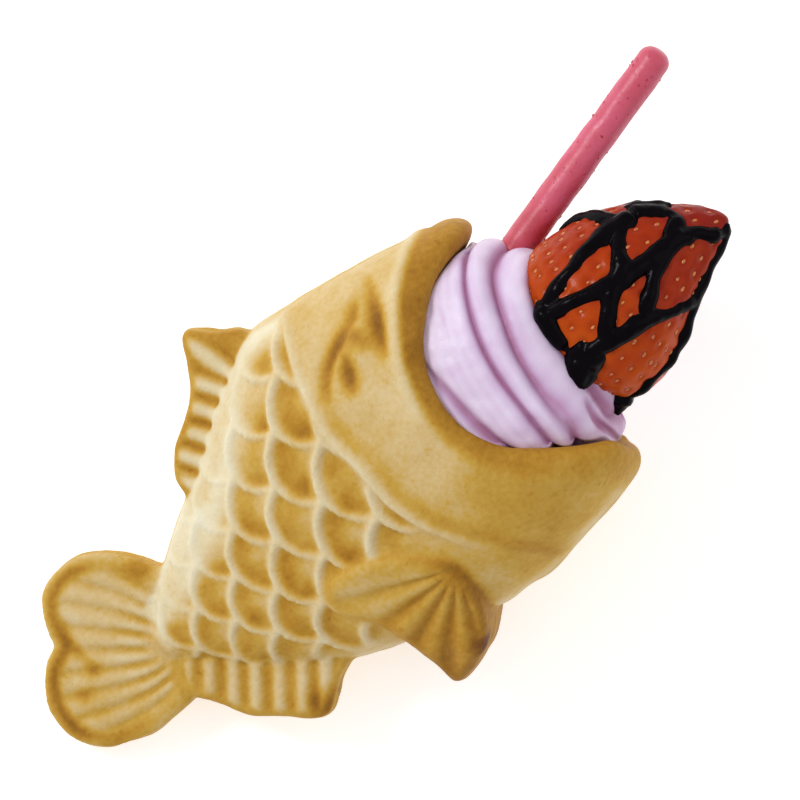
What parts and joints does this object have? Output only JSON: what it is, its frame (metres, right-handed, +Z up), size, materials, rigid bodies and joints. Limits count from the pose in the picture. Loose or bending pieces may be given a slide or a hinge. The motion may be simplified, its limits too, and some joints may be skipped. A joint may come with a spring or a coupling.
{
  "type": "filled taiyaki cone",
  "caption": "Fish-shaped waffle cone lying on its side, open mouth filled with pink soft ice cream, a chocolate-drizzled strawberry and a coated biscuit stick",
  "frame": {"origin": "on the surface that the cone lies on, at the middle of the bounding box seen from above", "axes": "+X from the tail to the mouth, +Y towards the dorsal fin, +Z up out of the flank that shows"},
  "size_m": [0.2046, 0.1024, 0.0595],
  "materials": {
    "batter": "matte",
    "ice_cream": "satin",
    "strawberry": "satin",
    "coated_biscuit": "satin"
  },
  "bodies": {
    "root": {"taiyaki_cone": "batter", "ice_cream": "ice_cream", "strawberry": "strawberry", "biscuit_stick": "coated_biscuit"}
  },
  "joints": []
}
